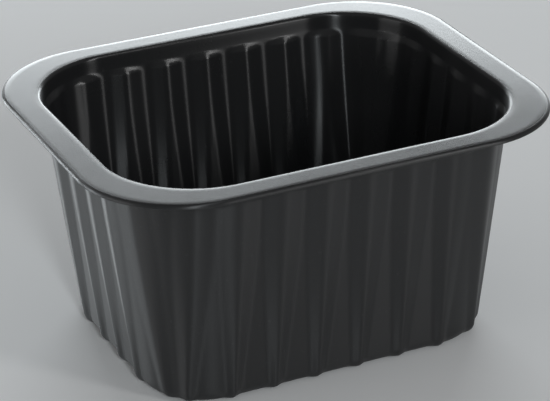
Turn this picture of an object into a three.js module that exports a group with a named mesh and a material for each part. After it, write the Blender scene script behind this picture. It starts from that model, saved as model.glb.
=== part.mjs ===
// A deep food tray, formed from one sheet of black plastic and open at the top.
// Flat rim all round, rounded corners, and walls that taper inwards to a flat base.
// Upright flutes stand out of the walls, with flat bands between them that widen downwards.
// Millimetres, +Z up, X along the tray. The origin is in the middle of the base, on its underside.
import * as THREE from 'three';

// Overall sizes
const LENGTH = 162;
const WIDTH = 132.5;
const HEIGHT = 82;
const RIM_CORNER = 35.2;

// Sheet: it thins as it is drawn down
const RIM_SHEET = 0.9;
const WALL_SHEET = 0.6;

// Walls. Every level of the wall is the same core rectangle, grown by a reach that shrinks downwards.
const CORE = { x: 38.5, y: 24.9 };
const REACH_AT_TOP = 32.2;
const DRAFT = THREE.MathUtils.degToRad(6.5);
const BASE_ROUNDING = 5;
const MOUTH_ROUNDING = 1.5;

// Depths are measured down from the top of the rim
const LEDGE_TOP = 5.8;
const LEDGE_FOOT = 8.0;
const TAPER_START = 20;
const WALL_LEVELS = [LEDGE_TOP, LEDGE_FOOT, TAPER_START, 34, 46, 56, 65, 72];

// Flutes: their flat crests keep the line of the wall above the ledge, and the bands between them
// step in. They are placed by their distance from the middle of a side, also round the corners.
const PITCH = 15;
const LONG_SIDE_FLUTES = [0.5, 1.5, 2.5, 3.5].map((pitches) => pitches * PITCH);
const SHORT_SIDE_FLUTES = [0.5, 1.5, 2.5].map((pitches) => pitches * PITCH);
const TURNING_FLUTES_PER_SIDE = 2;
const LAST_SHORT_FLUTE_RELIEF = 0.55;
const FOOT_HALF_WIDTH = { top: 6.9, base: 2.8 };
const CREST_HALF_WIDTH = { top: 2.6, base: 0.3 };
const FOOT_TAPER_POWER = 1.3;
const STEP_IN = { top: 1.1, base: 1.35 };
const CORNER_PAD_STATIONS = 2;

// Turned-down edge of the rim, as [in from the outermost line, down from the top]
const EDGE_OUTSIDE = [[0.9, 0], [0.35, 0.2], [0.2, 0.6], [0, 1.3]];
const EDGE_INSIDE = [[0.75, 1.45], [1.15, RIM_SHEET]];

// Distance round the wall, from the middle of a side, to what stands `across` from that middle
function roundTheWall(across, core, reach) {
  return across <= core ? across : core + reach * Math.asin((across - core) / reach);
}

// The flutes of a quarter, from the middle of a long side to the middle of a short one
function quarterFlutes(reach) {
  const quarterLength = CORE.x + reach * (Math.PI / 2) + CORE.y;
  const fromLong = LONG_SIDE_FLUTES.map((across, i) => ({
    centre: roundTheWall(across, CORE.x, reach),
    turning: i >= LONG_SIDE_FLUTES.length - TURNING_FLUTES_PER_SIDE,
    relief: 1,
  }));
  const fromShort = SHORT_SIDE_FLUTES.map((across, i) => ({
    centre: quarterLength - roundTheWall(across, CORE.y, reach),
    turning: i >= SHORT_SIDE_FLUTES.length - TURNING_FLUTES_PER_SIDE,
    relief: i === SHORT_SIDE_FLUTES.length - 1 ? LAST_SHORT_FLUTE_RELIEF : 1,
  }));
  return [...fromLong, ...fromShort.reverse()];
}

// Edges of one flute at a depth, as places round the wall with how far each is pressed in: 0 to 1
function fluteStations({ centre, turning, relief }, depth) {
  const fall = THREE.MathUtils.clamp((depth - TAPER_START) / (HEIGHT - BASE_ROUNDING - TAPER_START), 0, 1);
  const foot = THREE.MathUtils.lerp(FOOT_HALF_WIDTH.top, FOOT_HALF_WIDTH.base, fall ** FOOT_TAPER_POWER);
  const crest = THREE.MathUtils.lerp(CREST_HALF_WIDTH.top, CREST_HALF_WIDTH.base, depth / HEIGHT);
  const oneFlank = turning ? [crest, (crest + foot) / 2, foot] : [crest, foot];
  const offsets = [...oneFlank.map((offset) => -offset).reverse(), ...oneFlank];
  return offsets.map((offset) => ({
    walk: centre + offset,
    pressed: 1 - relief * (foot - Math.abs(offset)) / (foot - crest),
  }));
}

// A place round the wall, as a place on a side or an angle on the corner
function placeOf(walk, reach) {
  const cornerEnd = CORE.x + reach * (Math.PI / 2);
  if (walk <= CORE.x) return { side: 'long', along: walk };
  if (walk >= cornerEnd) return { side: 'short', along: cornerEnd + CORE.y - walk };
  return { side: 'corner', angle: (cornerEnd - walk) / reach };
}

// The plain corner surface lies between the last flute of the long side and that of the short side
function cornerPad(before, after) {
  return Array.from({ length: CORNER_PAD_STATIONS }, (_, i) => ({
    walk: THREE.MathUtils.lerp(before.walk, after.walk, (i + 1) / (CORNER_PAD_STATIONS + 1)),
    pressed: 1,
  }));
}

function quarterStations(depth) {
  const reach = wallReach(HEIGHT - depth);
  const flutes = quarterFlutes(reach).map((flute) => fluteStations(flute, depth));
  const long = flutes.slice(0, LONG_SIDE_FLUTES.length).flat();
  const short = flutes.slice(LONG_SIDE_FLUTES.length).flat();
  const stations = [...long, ...cornerPad(long.at(-1), short[0]), ...short];
  return stations.map(({ walk, pressed }) => ({ ...placeOf(walk, reach), pressed }));
}

// How far the wall steps in from its upper line: nothing above the ledge, all of it below
function stepIn(pressed, depth) {
  const onLedge = THREE.MathUtils.clamp((depth - LEDGE_TOP) / (LEDGE_FOOT - LEDGE_TOP), 0, 1);
  return onLedge * pressed * THREE.MathUtils.lerp(STEP_IN.top, STEP_IN.base, depth / HEIGHT);
}

// One level of the tray as a closed ring of points, anticlockwise from above.
// `inward` moves the whole ring in by that much, square to the wall, to make the inner skin.
function ring({ core, reach, z, depth = 0, inward = 0 }) {
  const quarter = quarterStations(depth).map(({ side, along, angle, pressed }) => {
    const out = reach - stepIn(pressed, depth);
    if (side === 'long') return new THREE.Vector2(along, core.y + out);
    if (side === 'short') return new THREE.Vector2(core.x + out, along);
    return new THREE.Vector2(core.x + out * Math.cos(angle), core.y + out * Math.sin(angle));
  });
  const backwards = [...quarter].reverse();
  const upperHalf = [...backwards, ...quarter.map((p) => new THREE.Vector2(-p.x, p.y))];
  const lowerHalf = [...upperHalf].reverse().map((p) => new THREE.Vector2(p.x, -p.y));
  const outline = [...upperHalf, ...lowerHalf];
  return outline.map((point, i) => {
    const before = outline.at(i - 1);
    const after = outline[(i + 1) % outline.length];
    const ahead = after.clone().sub(before).normalize();
    return new THREE.Vector3(point.x - ahead.y * inward, point.y + ahead.x * inward, z);
  });
}

// Reach of the outer skin at a height above the base
function wallReach(z) {
  return REACH_AT_TOP - (HEIGHT - z) * Math.tan(DRAFT);
}

// The rounding between wall and base turns about one centre for both skins
function baseRounding(angle, sheet) {
  const centre = wallReach(BASE_ROUNDING) - BASE_ROUNDING / Math.cos(DRAFT);
  const z = BASE_ROUNDING - (BASE_ROUNDING - sheet) * Math.sin(angle);
  const reach = centre + BASE_ROUNDING * Math.cos(angle);
  return ring({ core: CORE, reach, z, depth: HEIGHT - z, inward: sheet * Math.cos(angle) });
}

function wallLevel(depth, sheet) {
  const z = HEIGHT - depth;
  return ring({ core: CORE, reach: wallReach(z), z, depth, inward: sheet / Math.cos(DRAFT) });
}

// The rounding between wall and rim, where the sheet thickens from the wall's to the rim's
function mouthRounding(angle, underside) {
  const z = HEIGHT - MOUTH_ROUNDING;
  const centre = wallReach(z) + (MOUTH_ROUNDING - WALL_SHEET) / Math.cos(DRAFT);
  const turned = (angle - DRAFT) / (Math.PI / 2 - DRAFT);
  const sheet = underside ? THREE.MathUtils.lerp(WALL_SHEET, RIM_SHEET, turned) : 0;
  const radius = MOUTH_ROUNDING - sheet;
  return ring({ core: CORE, reach: centre - radius * Math.cos(angle), z: z + radius * Math.sin(angle) });
}

function rimEdge([inFromEdge, down]) {
  const core = { x: LENGTH / 2 - RIM_CORNER, y: WIDTH / 2 - RIM_CORNER };
  return ring({ core, reach: RIM_CORNER - inFromEdge, z: HEIGHT - down });
}

// Rings in order: up the inner skin from the floor, over the rim's edge, and down the outer skin
function sheetRings() {
  const roundingUp = [90, 60, 30].map(THREE.MathUtils.degToRad).concat(DRAFT);
  const mouthUp = [DRAFT, Math.PI / 4, Math.PI / 2];
  const levelsUp = [...WALL_LEVELS].reverse();
  return [
    ...roundingUp.map((angle) => baseRounding(angle, WALL_SHEET)),
    ...levelsUp.map((depth) => wallLevel(depth, WALL_SHEET)),
    ...mouthUp.map((angle) => mouthRounding(angle, false)),
    ...EDGE_OUTSIDE.map(rimEdge),
    ...EDGE_INSIDE.map(rimEdge),
    ...mouthUp.reverse().map((angle) => mouthRounding(angle, true)),
    ...WALL_LEVELS.map((depth) => wallLevel(depth, 0)),
    ...roundingUp.reverse().map((angle) => baseRounding(angle, 0)),
  ];
}

// Skins the rings in order and closes the floor and the base with a fan each
function sheetGeometry(rings) {
  const count = rings[0].length;
  const points = rings.flat();
  const faces = [];
  for (let level = 0; level + 1 < rings.length; level += 1) {
    for (let i = 0; i < count; i += 1) {
      const next = (i + 1) % count;
      const a = level * count + i;
      const b = level * count + next;
      faces.push(a, a + count, b, b, a + count, b + count);
    }
  }
  const floorCentre = points.push(new THREE.Vector3(0, 0, rings[0][0].z)) - 1;
  const baseCentre = points.push(new THREE.Vector3(0, 0, rings.at(-1)[0].z)) - 1;
  const lastRing = (rings.length - 1) * count;
  for (let i = 0; i < count; i += 1) {
    const next = (i + 1) % count;
    faces.push(floorCentre, i, next);
    faces.push(baseCentre, lastRing + next, lastRing + i);
  }
  const geometry = new THREE.BufferGeometry().setFromPoints(points);
  geometry.setIndex(faces);
  geometry.computeVertexNormals();
  return geometry;
}

const blackPlastic = new THREE.MeshStandardMaterial({ color: 0x17181a, roughness: 0.38, metalness: 0 });

const tray = new THREE.Mesh(sheetGeometry(sheetRings()), blackPlastic);
tray.name = 'tray';

const part = new THREE.Group();
part.add(tray);

export default part;
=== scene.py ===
"""A deep one-piece food tray of black plastic, open at the top, on a plain pale floor."""
import math

import bmesh
import bpy
from mathutils import Matrix, Vector


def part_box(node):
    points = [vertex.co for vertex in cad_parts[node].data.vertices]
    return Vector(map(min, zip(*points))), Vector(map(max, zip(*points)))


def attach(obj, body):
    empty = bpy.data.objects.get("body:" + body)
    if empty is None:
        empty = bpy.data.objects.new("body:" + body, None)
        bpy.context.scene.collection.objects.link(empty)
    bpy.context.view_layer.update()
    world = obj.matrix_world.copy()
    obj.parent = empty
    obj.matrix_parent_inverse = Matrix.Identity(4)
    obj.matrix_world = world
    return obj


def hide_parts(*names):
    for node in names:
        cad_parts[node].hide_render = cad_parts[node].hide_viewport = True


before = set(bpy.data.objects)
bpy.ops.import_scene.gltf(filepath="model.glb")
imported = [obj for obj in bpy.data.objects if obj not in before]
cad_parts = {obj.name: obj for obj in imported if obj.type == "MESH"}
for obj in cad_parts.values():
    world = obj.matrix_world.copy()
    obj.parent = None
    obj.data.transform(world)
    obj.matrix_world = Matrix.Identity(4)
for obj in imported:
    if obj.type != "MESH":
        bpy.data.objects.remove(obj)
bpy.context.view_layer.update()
TRAY_LOW, TRAY_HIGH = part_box("tray")
MM = 0.001

# Rim: its outermost line comes from the frame
HALF_LENGTH = TRAY_HIGH.x
HALF_WIDTH = TRAY_HIGH.y
RIM_TOP = TRAY_HIGH.z
RIM_CORNER = 35.2 * MM
RIM_SHEET = 0.9 * MM
WALL_SHEET = 0.6 * MM

# Walls: one core rectangle, grown by a reach that shrinks on the way down
CORE = Vector((38.5 * MM, 24.9 * MM))
REACH_AT_TOP = 32.2 * MM
DRAFT = math.radians(6.5)
BASE_ROUNDING = 5 * MM
MOUTH_ROUNDING = 0.4 * MM
BASE_START = 2 * MM

# Depths below the top of the rim. The wall is drawn finer in the zone about the ledge.
LEDGE_TOP = 5.8 * MM
LEDGE_FOOT = 8.0 * MM
LEDGE_ZONE_TOP = 5.0 * MM
LEDGE_ZONE_FOOT = 9.0 * MM
TAPER_START = 20 * MM

# Flutes, placed by their distance from the middle of a side, also round the corners
PITCH = 15 * MM
LONG_FLUTES = [0.5 * PITCH, 1.5 * PITCH, 2.5 * PITCH, 3.5 * PITCH]
SHORT_FLUTES = [0.5 * PITCH, 1.5 * PITCH, 2.5 * PITCH]
LAST_SHORT_FLUTE_RELIEF = 0.55
FOOT_HALF_WIDTH_TOP, FOOT_HALF_WIDTH_BASE = 6.9 * MM, 2.8 * MM
CREST_HALF_WIDTH_TOP, CREST_HALF_WIDTH_BASE = 2.6 * MM, 0.3 * MM
FOOT_TAPER_POWER = 1.3
STEP_IN_TOP, STEP_IN_BASE = 1.1 * MM, 1.35 * MM

# Turned-down edge of the rim, on the underside of the sheet
EDGE_FROM_OUTLINE = 1.2 * MM
EDGE_ROUNDING = 0.3 * MM
EDGE_TURN = math.radians(80)
EDGE_DROP = 0.45 * MM

# Bevel that takes the sharpness off the sheet's cut edge
CUT_EDGE_BEVEL = 0.15 * MM
CUT_EDGE_SEGMENTS = 2
CUT_EDGE_ANGLE = math.radians(50)

# Material slots of the outer skin: each is followed by the slot of the skin behind it
WALL_SLOT, RIM_SLOT, LIP_SLOT = 0, 2, 4

# How finely the section is drawn, and then swept
BASE_STEPS, BASE_ROUNDING_STEPS = 6, 12
WALL_STEPS, LEDGE_STEPS, BAND_STEPS = 36, 12, 3
MOUTH_STEPS, RIM_STEPS = 6, 6
EDGE_ROUNDING_STEPS, EDGE_DROP_STEPS = 4, 2
LONG_STEPS, CORNER_STEPS, SHORT_STEPS = 44, 44, 28
MERGE_DISTANCE = 0.002 * MM

# Colours of the light, the plastic, the dust on it and the floor
WHITE = (1.0, 1.0, 1.0)
SKY_WHITE = (0.91, 0.97, 1.0)
PLASTIC_BLACK = (0.0135, 0.0138, 0.0145, 1)
DUST_GREY = (0.05, 0.05, 0.052, 1)
FLOOR_PALE = (0.86, 0.86, 0.86, 1)

# Gloss of the plastic: a quarter turn lays its smear up and down the wall
PLASTIC_IOR = 1.5
SMEAR_TURN = 0.25

# Texture of the plastic: upright draw lines are a noise that is stretched up the wall
GRAIN_SIZE = 0.45 * MM
DRAW_LINE_SIZE = 2.2 * MM
DRAW_LINE_STRETCH = 14
DRAW_LINE_AMOUNT = 0.4
TEXTURE_DEPTH = 0.06 * MM
TEXTURE_STRENGTH = 0.25

# Signs of handling: a haze that varies the gloss, and a few specks of dust
HAZE_SIZE = 24 * MM
HAZE_ROUGHNESS = 0.08
SPECK_SIZE = 1.1 * MM
SPECK_THRESHOLD = 0.74
SPECK_SHARPNESS = 14.0
SPECK_AMOUNT = 0.12

# Studio, in metres
LIGHT_DISTANCE = 1.5
WORLD_STRENGTH = 0.2
FLOOR_HALF_SIZE = 3.0
FLOOR_ROUGHNESS = 0.8

# The photograph's camera, fitted to the outlines of the rim, the walls and the base.
# It aims at the middle of the rim's top, moved aside and up by a little.
CAMERA_AZIMUTH = math.radians(-24.97)
CAMERA_ELEVATION = math.radians(25.95)
CAMERA_ROLL = math.radians(-0.99)
CAMERA_DISTANCE = 822.98 * MM
CAMERA_ASIDE = -0.07 * MM
CAMERA_UP = -35.05 * MM
FOCAL_PIXELS = 2509.05
PHOTO_WIDTH_PIXELS = 550
SENSOR_WIDTH = 36.0


def wall_reach(z):
    return REACH_AT_TOP - (RIM_TOP - z) * math.tan(DRAFT)


# Reach at which the rim's underside leaves the mouth, and at which its edge turns down
MOUTH_REACH = wall_reach(RIM_TOP - RIM_SHEET) + MOUTH_ROUNDING
EDGE_REACH = HALF_WIDTH - CORE.y - EDGE_FROM_OUTLINE


# ---- Section of the sheet: a pen that draws it in the plane x = 0, outwards along +Y ----

def draw_line(bm, pen, y, z, steps):
    """Draws a straight stretch to y, z, and returns the pen at its end."""
    step = (Vector((0, y, z)) - pen.co) / steps
    for _ in range(steps):
        end = bmesh.ops.extrude_vert_indiv(bm, verts=[pen])["verts"][0]
        end.co = pen.co + step
        pen = end
    return pen


def draw_arc(bm, pen, centre_y, centre_z, angle, steps):
    """Draws a round stretch about a centre; a positive angle turns upwards."""
    arc = bmesh.ops.spin(bm, geom=[pen], cent=(0, centre_y, centre_z), axis=(1, 0, 0),
                         angle=angle, steps=steps, use_merge=False)
    return next(g for g in arc["geom_last"] if isinstance(g, bmesh.types.BMVert))


def draw_section(bm):
    """The outer skin from the base to the rim's edge, as one chain of edges."""
    turn = math.pi / 2 - DRAFT
    base_centre = CORE.y + wall_reach(BASE_ROUNDING) - BASE_ROUNDING / math.cos(DRAFT)
    pen = bm.verts.new((0, CORE.y + BASE_START, 0))
    pen = draw_line(bm, pen, base_centre, 0, BASE_STEPS)
    pen = draw_arc(bm, pen, base_centre, BASE_ROUNDING, turn, BASE_ROUNDING_STEPS)
    for depth, steps in ((LEDGE_ZONE_FOOT, WALL_STEPS), (LEDGE_ZONE_TOP, LEDGE_STEPS)):
        z = RIM_TOP - depth
        pen = draw_line(bm, pen, CORE.y + wall_reach(z), z, steps)
    under_rim = RIM_TOP - RIM_SHEET
    centre_z = under_rim - MOUTH_ROUNDING
    z = centre_z + MOUTH_ROUNDING * math.sin(DRAFT)
    pen = draw_line(bm, pen, CORE.y + wall_reach(z), z, BAND_STEPS)
    centre_y = pen.co.y + MOUTH_ROUNDING * math.cos(DRAFT)
    pen = draw_arc(bm, pen, centre_y, centre_z, -turn, MOUTH_STEPS)
    pen = draw_line(bm, pen, HALF_WIDTH - EDGE_FROM_OUTLINE, under_rim, RIM_STEPS)
    pen = draw_arc(bm, pen, pen.co.y, under_rim - EDGE_ROUNDING, -EDGE_TURN, EDGE_ROUNDING_STEPS)
    out = pen.co.y + EDGE_DROP * math.cos(EDGE_TURN)
    down = pen.co.z - EDGE_DROP * math.sin(EDGE_TURN)
    draw_line(bm, pen, out, down, EDGE_DROP_STEPS)


# ---- Sweep of the section round the tray ----

def sweep_straight(bm, geom, step, steps):
    swept = bmesh.ops.spin(bm, geom=geom, cent=(0, 0, 0), axis=(0, 0, 1), dvec=step,
                           angle=0, steps=steps, use_merge=False)
    return swept["geom_last"]


def sweep_quarter(bm):
    """From the middle of a long side, round a corner, to the middle of a short side."""
    geom = bm.verts[:] + bm.edges[:]
    geom = sweep_straight(bm, geom, (CORE.x / LONG_STEPS, 0, 0), LONG_STEPS)
    turned = bmesh.ops.spin(bm, geom=geom, cent=(CORE.x, CORE.y, 0), axis=(0, 0, 1),
                            angle=-math.pi / 2, steps=CORNER_STEPS, use_merge=False)
    sweep_straight(bm, turned["geom_last"], (0, -CORE.y / SHORT_STEPS, 0), SHORT_STEPS)


# ---- Places on the sheet ----

def place(point):
    """Side of the tray, distance or angle along it, outward direction, foot on the core, reach."""
    x, y = abs(point.x), abs(point.y)
    if x <= CORE.x:
        return "long", x, Vector((0, 1)), Vector((x, CORE.y)), y - CORE.y
    if y <= CORE.y:
        return "short", y, Vector((1, 0)), Vector((CORE.x, y)), x - CORE.x
    arm = Vector((x, y)) - CORE
    return "corner", math.atan2(arm.y, arm.x), arm.normalized(), CORE.copy(), arm.length


def is_on_rim(point):
    *_, reach = place(point)
    return point.z > RIM_TOP - LEDGE_TOP and reach > MOUTH_REACH


def slot_of(point):
    if not is_on_rim(point):
        return WALL_SLOT
    *_, reach = place(point)
    return RIM_SLOT if reach < EDGE_REACH else LIP_SLOT


def between(low, high, value):
    """0 at low, 1 at high, straight between them and level outside them."""
    return min(1.0, max(0.0, (value - low) / (high - low)))


def blend(start, end, share):
    return start + (end - start) * share


# ---- Flutes ----

def round_the_wall(across, core, reach):
    """Distance round the wall, from the middle of a side, to what stands across from it."""
    if across <= core:
        return across
    return core + reach * math.asin((across - core) / reach)


def pressed_by_flute(distance, depth):
    """0 at the top of a flute's round crest, 1 on the band beside it, and a straight flank between."""
    fall = between(TAPER_START, RIM_TOP - BASE_ROUNDING, depth) ** FOOT_TAPER_POWER
    foot = blend(FOOT_HALF_WIDTH_TOP, FOOT_HALF_WIDTH_BASE, fall)
    crest = blend(CREST_HALF_WIDTH_TOP, CREST_HALF_WIDTH_BASE, depth / RIM_TOP)
    if distance < crest:
        return distance ** 2 / (crest * (2 * foot - crest))
    return between(crest, 2 * foot, 2 * distance)


def step_in(side, along, depth):
    """How far the wall stands in from its upper line: nothing on a crest, all on a band."""
    reach = wall_reach(RIM_TOP - depth)
    corner_end = CORE.x + reach * math.pi / 2
    walk = {"long": along, "corner": corner_end - reach * along,
            "short": corner_end + CORE.y - along}[side]
    pressed = min(pressed_by_flute(abs(walk - round_the_wall(across, CORE.x, reach)), depth)
                  for across in LONG_FLUTES)
    for across in SHORT_FLUTES:
        centre = corner_end + CORE.y - round_the_wall(across, CORE.y, reach)
        relief = LAST_SHORT_FLUTE_RELIEF if across == SHORT_FLUTES[-1] else 1.0
        pressed = min(pressed, 1 - relief * (1 - pressed_by_flute(abs(walk - centre), depth)))
    on_ledge = between(LEDGE_TOP, LEDGE_FOOT, depth)
    return on_ledge * pressed * blend(STEP_IN_TOP, STEP_IN_BASE, depth / RIM_TOP)


def press_flutes(bm):
    """Presses the bands between the flutes, and the corners, in from the plain wall."""
    base_edge = wall_reach(BASE_ROUNDING) - BASE_ROUNDING / math.cos(DRAFT)
    for vert in bm.verts:
        side, along, outward, foot, reach = place(vert.co)
        depth = RIM_TOP - vert.co.z
        if depth > LEDGE_TOP:
            step = step_in(side, along, depth) * between(BASE_START, base_edge, reach)
            vert.co.x, vert.co.y = foot + outward * (reach - step)


# ---- The whole tray ----

def widen_rim(bm):
    """Moves the rim from the walls' core rectangle to its own outline."""
    rim_core = Vector((HALF_LENGTH - RIM_CORNER, HALF_WIDTH - RIM_CORNER))
    for vert in bm.verts:
        if not is_on_rim(vert.co):
            continue
        *_, outward, foot, reach = place(vert.co)
        rim_foot = Vector((foot.x * rim_core.x / CORE.x, foot.y * rim_core.y / CORE.y))
        inner = foot + outward * MOUTH_REACH
        outer = rim_foot + outward * (RIM_CORNER - EDGE_FROM_OUTLINE)
        spot = inner.lerp(outer, between(MOUTH_REACH, EDGE_REACH, reach))
        vert.co.x, vert.co.y = spot + outward * max(0.0, reach - EDGE_REACH)


def close_base(bm):
    base_hole = [e for e in bm.edges if e.is_boundary and e.verts[0].co.z < MM]
    bmesh.ops.contextual_create(bm, geom=base_hole)


def face_outwards(bm):
    """The base is the largest face, and it has to look down."""
    bmesh.ops.recalc_face_normals(bm, faces=bm.faces[:])
    base = max(bm.faces, key=lambda face: face.calc_area())
    if base.normal.z > 0:
        bmesh.ops.reverse_faces(bm, faces=bm.faces[:])


def tray_sheet():
    """The outer skin of the whole tray, closed at the base and open at the rim's edge."""
    bm = bmesh.new()
    draw_section(bm)
    sweep_quarter(bm)
    press_flutes(bm)
    for face in bm.faces:
        face.material_index = slot_of(face.calc_center_median())
    widen_rim(bm)
    for axis in ("X", "Y"):
        bmesh.ops.mirror(bm, geom=bm.verts[:] + bm.edges[:] + bm.faces[:],
                         matrix=Matrix.Identity(4), merge_dist=MERGE_DISTANCE / 2, axis=axis)
    bmesh.ops.remove_doubles(bm, verts=bm.verts[:], dist=MERGE_DISTANCE)
    close_base(bm)
    face_outwards(bm)
    return bm


def make_piece(name, bm, materials):
    mesh = bpy.data.meshes.new(name)
    for face in bm.faces:
        face.smooth = True
    bm.to_mesh(mesh)
    bm.free()
    piece = bpy.data.objects.new(name, mesh)
    bpy.context.scene.collection.objects.link(piece)
    for material in materials:
        mesh.materials.append(material)
    return piece


def thicken(piece):
    """Gives the sheet its thickness inwards: full at the rim, thinner where it was drawn down."""
    sheet = piece.vertex_groups.new(name="sheet")
    for vert in piece.data.vertices:
        drawn = between(RIM_SHEET, LEDGE_ZONE_TOP, RIM_TOP - vert.co.z)
        sheet.add([vert.index], blend(1.0, WALL_SHEET / RIM_SHEET, drawn), "REPLACE")
    solid = piece.modifiers.new("Sheet", "SOLIDIFY")
    solid.thickness = RIM_SHEET
    solid.offset = -1.0
    solid.use_even_offset = True
    solid.vertex_group = sheet.name
    solid.material_offset = 1
    solid.material_offset_rim = 0
    edge = piece.modifiers.new("Cut edge", "BEVEL")
    edge.width = CUT_EDGE_BEVEL
    edge.segments = CUT_EDGE_SEGMENTS
    edge.limit_method = "ANGLE"
    edge.angle_limit = CUT_EDGE_ANGLE


# ---- Shared effects of the plastic ----

def new_group(name, inputs, outputs):
    """A shared effect of numbers, with named inputs and outputs, and its own end nodes."""
    group = bpy.data.node_groups.new(name, "ShaderNodeTree")
    for label in inputs:
        group.interface.new_socket(label, in_out="INPUT", socket_type="NodeSocketFloat")
    for label in outputs:
        group.interface.new_socket(label, in_out="OUTPUT", socket_type="NodeSocketFloat")
    return group, group.nodes.new("NodeGroupInput"), group.nodes.new("NodeGroupOutput")


def use_group(nodes, group, **amounts):
    """Places a shared effect in a material; draw_lines sets the input that is named Draw lines."""
    node = nodes.new("ShaderNodeGroup")
    node.node_tree = group
    for name, amount in amounts.items():
        label = name.replace("_", " ").capitalize()
        node.inputs[label].default_value = amount
    return node


def math_node(nodes, operation, *values):
    node = nodes.new("ShaderNodeMath")
    node.operation = operation
    for socket, value in zip(node.inputs, values):
        if isinstance(value, (int, float)):
            socket.default_value = value
        else:
            node.id_data.links.new(value, socket)
    return node.outputs[0]


def noise_node(nodes, size, detail, stretch=1.0):
    """Noise in object space with grains of a real size, stretched up the wall if asked."""
    links = nodes.id_data.links
    where = nodes.new("ShaderNodeTexCoord")
    scaled = nodes.new("ShaderNodeMapping")
    scaled.inputs["Scale"].default_value = (1, 1, 1 / stretch)
    noise = nodes.new("ShaderNodeTexNoise")
    noise.inputs["Scale"].default_value = 1 / size
    noise.inputs["Detail"].default_value = detail
    links.new(where.outputs["Object"], scaled.inputs["Vector"])
    links.new(scaled.outputs["Vector"], noise.inputs["Vector"])
    return noise.outputs[0]


def mould_grain():
    """The fine grain and the upright draw lines that moulding leaves, as a height for the bump."""
    group, given, result = new_group("mould grain", ["Grain", "Draw lines"], ["Height"])
    nodes = group.nodes
    grain = noise_node(nodes, GRAIN_SIZE, detail=2)
    lines = noise_node(nodes, DRAW_LINE_SIZE, detail=1, stretch=DRAW_LINE_STRETCH)
    grain = math_node(nodes, "MULTIPLY", grain, given.outputs["Grain"])
    lines = math_node(nodes, "MULTIPLY", lines, given.outputs["Draw lines"])
    group.links.new(math_node(nodes, "ADD", grain, lines), result.inputs["Height"])
    return group


def handling_haze():
    """Soft patches and specks where the sheet has been touched and has gathered dust."""
    group, given, result = new_group("handling haze", ["Haze", "Specks"], ["Haze mask", "Speck mask"])
    nodes, links = group.nodes, group.links
    haze = noise_node(nodes, HAZE_SIZE, detail=3)
    haze = math_node(nodes, "MULTIPLY", haze, given.outputs["Haze"])
    specks = noise_node(nodes, SPECK_SIZE, detail=0)
    specks = math_node(nodes, "SUBTRACT", specks, SPECK_THRESHOLD)
    specks = math_node(nodes, "MULTIPLY", specks, SPECK_SHARPNESS)
    specks = math_node(nodes, "MAXIMUM", specks, 0.0)
    specks = math_node(nodes, "MULTIPLY", specks, given.outputs["Specks"])
    links.new(haze, result.inputs["Haze mask"])
    links.new(math_node(nodes, "MINIMUM", specks, 1.0), result.inputs["Speck mask"])
    return group


MOULD_GRAIN = mould_grain()
HANDLING_HAZE = handling_haze()


# ---- Materials ----

def black_plastic(name, roughness, smear, grain):
    """Black moulded plastic, whose drawn surface smears its gloss up and down the wall."""
    material = bpy.data.materials.new(name)
    material.use_nodes = True
    nodes, links = material.node_tree.nodes, material.node_tree.links
    shader = nodes["Principled BSDF"]
    shader.inputs["Anisotropic"].default_value = smear
    shader.inputs["Anisotropic Rotation"].default_value = SMEAR_TURN
    shader.inputs["IOR"].default_value = PLASTIC_IOR

    texture = use_group(nodes, MOULD_GRAIN, grain=grain, draw_lines=DRAW_LINE_AMOUNT)
    bump = nodes.new("ShaderNodeBump")
    bump.inputs["Strength"].default_value = TEXTURE_STRENGTH
    bump.inputs["Distance"].default_value = TEXTURE_DEPTH
    links.new(texture.outputs["Height"], bump.inputs["Height"])
    links.new(bump.outputs["Normal"], shader.inputs["Normal"])

    touched = use_group(nodes, HANDLING_HAZE, haze=HAZE_ROUGHNESS, specks=SPECK_AMOUNT)
    dull = math_node(nodes, "ADD", touched.outputs["Haze mask"], roughness - HAZE_ROUGHNESS / 2)
    links.new(dull, shader.inputs["Roughness"])
    dusty = nodes.new("ShaderNodeMix")
    dusty.data_type = "RGBA"
    dusty.inputs["A"].default_value = PLASTIC_BLACK
    dusty.inputs["B"].default_value = DUST_GREY
    links.new(touched.outputs["Speck mask"], dusty.inputs["Factor"])
    links.new(dusty.outputs["Result"], shader.inputs["Base Color"])
    return material


def pale_floor():
    material = bpy.data.materials.new("pale floor")
    material.use_nodes = True
    shader = material.node_tree.nodes["Principled BSDF"]
    shader.inputs["Base Color"].default_value = FLOOR_PALE
    shader.inputs["Roughness"].default_value = FLOOR_ROUGHNESS
    return material


# ---- Floor, light and camera ----

def make_floor():
    bm = bmesh.new()
    bmesh.ops.create_grid(bm, x_segments=1, y_segments=1, size=FLOOR_HALF_SIZE)
    floor = make_piece("floor", bm, [pale_floor()])
    floor.location.z = TRAY_LOW.z


def add_soft_box(name, azimuth, elevation, width, height, power, colour):
    """A soft box that faces the tray. Azimuth 0 is behind it, along +Y, and 90 is along +X."""
    turn, rise = math.radians(azimuth), math.radians(elevation)
    away = Vector((math.sin(turn) * math.cos(rise), math.cos(turn) * math.cos(rise), math.sin(rise)))
    data = bpy.data.lights.new(name, "AREA")
    data.shape = "RECTANGLE"
    data.size = width
    data.size_y = height
    data.energy = power
    data.color = colour
    lamp = bpy.data.objects.new(name, data)
    lamp.location = Vector((0, 0, RIM_TOP / 2)) + away * LIGHT_DISTANCE
    lamp.rotation_euler = away.to_track_quat("Z", "Y").to_euler()
    bpy.context.scene.collection.objects.link(lamp)


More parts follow.
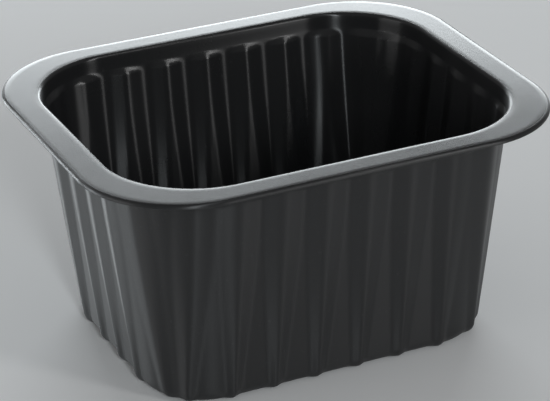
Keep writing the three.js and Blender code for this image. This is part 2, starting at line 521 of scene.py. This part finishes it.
def make_light():
    """Pale surroundings and eight soft boxes. The low left and left ones are lower than the rim,
    so that they light the outside of the walls alone."""
    world = bpy.data.worlds.new("studio")
    world.use_nodes = True
    background = world.node_tree.nodes["Background"]
    background.inputs["Color"].default_value = (*WHITE, 1)
    background.inputs["Strength"].default_value = WORLD_STRENGTH
    bpy.context.scene.world = world
    add_soft_box("back soft box", 24, 17, 1.1, 0.3, 8.6, SKY_WHITE)
    add_soft_box("high back soft box", 14, 31, 0.6, 0.35, 0.65, SKY_WHITE)
    add_soft_box("low back soft box", 0, 7, 0.7, 0.25, 2.0, SKY_WHITE)
    add_soft_box("low left soft box", 333, 0, 0.45, 0.075, 8.5, SKY_WHITE)
    add_soft_box("left soft box", 300, 0, 0.6, 0.075, 7.5, SKY_WHITE)
    add_soft_box("front left soft box", 268, 6, 0.8, 0.25, 3.6, WHITE)
    add_soft_box("front right soft box", 149, 23, 0.25, 0.36, 3.6, WHITE)
    add_soft_box("front strip", 194, 26, 0.16, 0.4, 5.6, SKY_WHITE)


def make_camera():
    rise, turn = CAMERA_ELEVATION, CAMERA_AZIMUTH
    back = Vector((math.sin(turn) * math.cos(rise), -math.cos(turn) * math.cos(rise), math.sin(rise)))
    right = Vector((math.cos(turn), math.sin(turn), 0))
    up = back.cross(right)
    data = bpy.data.cameras.new("camera")
    data.sensor_fit = "HORIZONTAL"
    data.sensor_width = SENSOR_WIDTH
    data.lens = FOCAL_PIXELS * SENSOR_WIDTH / PHOTO_WIDTH_PIXELS
    camera = bpy.data.objects.new("camera", data)
    aim = Vector((0, 0, RIM_TOP))
    camera.location = aim + back * CAMERA_DISTANCE + right * CAMERA_ASIDE + up * CAMERA_UP
    rolled_right = right * math.cos(CAMERA_ROLL) + up * math.sin(CAMERA_ROLL)
    rolled_up = up * math.cos(CAMERA_ROLL) - right * math.sin(CAMERA_ROLL)
    turned = Matrix((rolled_right, rolled_up, back)).transposed()
    camera.rotation_euler = turned.to_euler()
    bpy.context.scene.collection.objects.link(camera)
    bpy.context.scene.camera = camera


make_camera()
make_light()
make_floor()

outside = black_plastic("moulded outside", roughness=0.4, smear=0.9, grain=1.0)
food_side = black_plastic("food side", roughness=0.28, smear=1.0, grain=0.4)
rim_face = black_plastic("satin rim", roughness=0.2, smear=0.0, grain=0.05)
wall, rim, lip = [outside, food_side], [outside, rim_face], [outside, outside]
tray = make_piece("tray_shell", tray_sheet(), wall + rim + lip)
thicken(tray)
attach(tray, "root")
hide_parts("tray")

bpy.context.scene.view_settings.view_transform = "Standard"
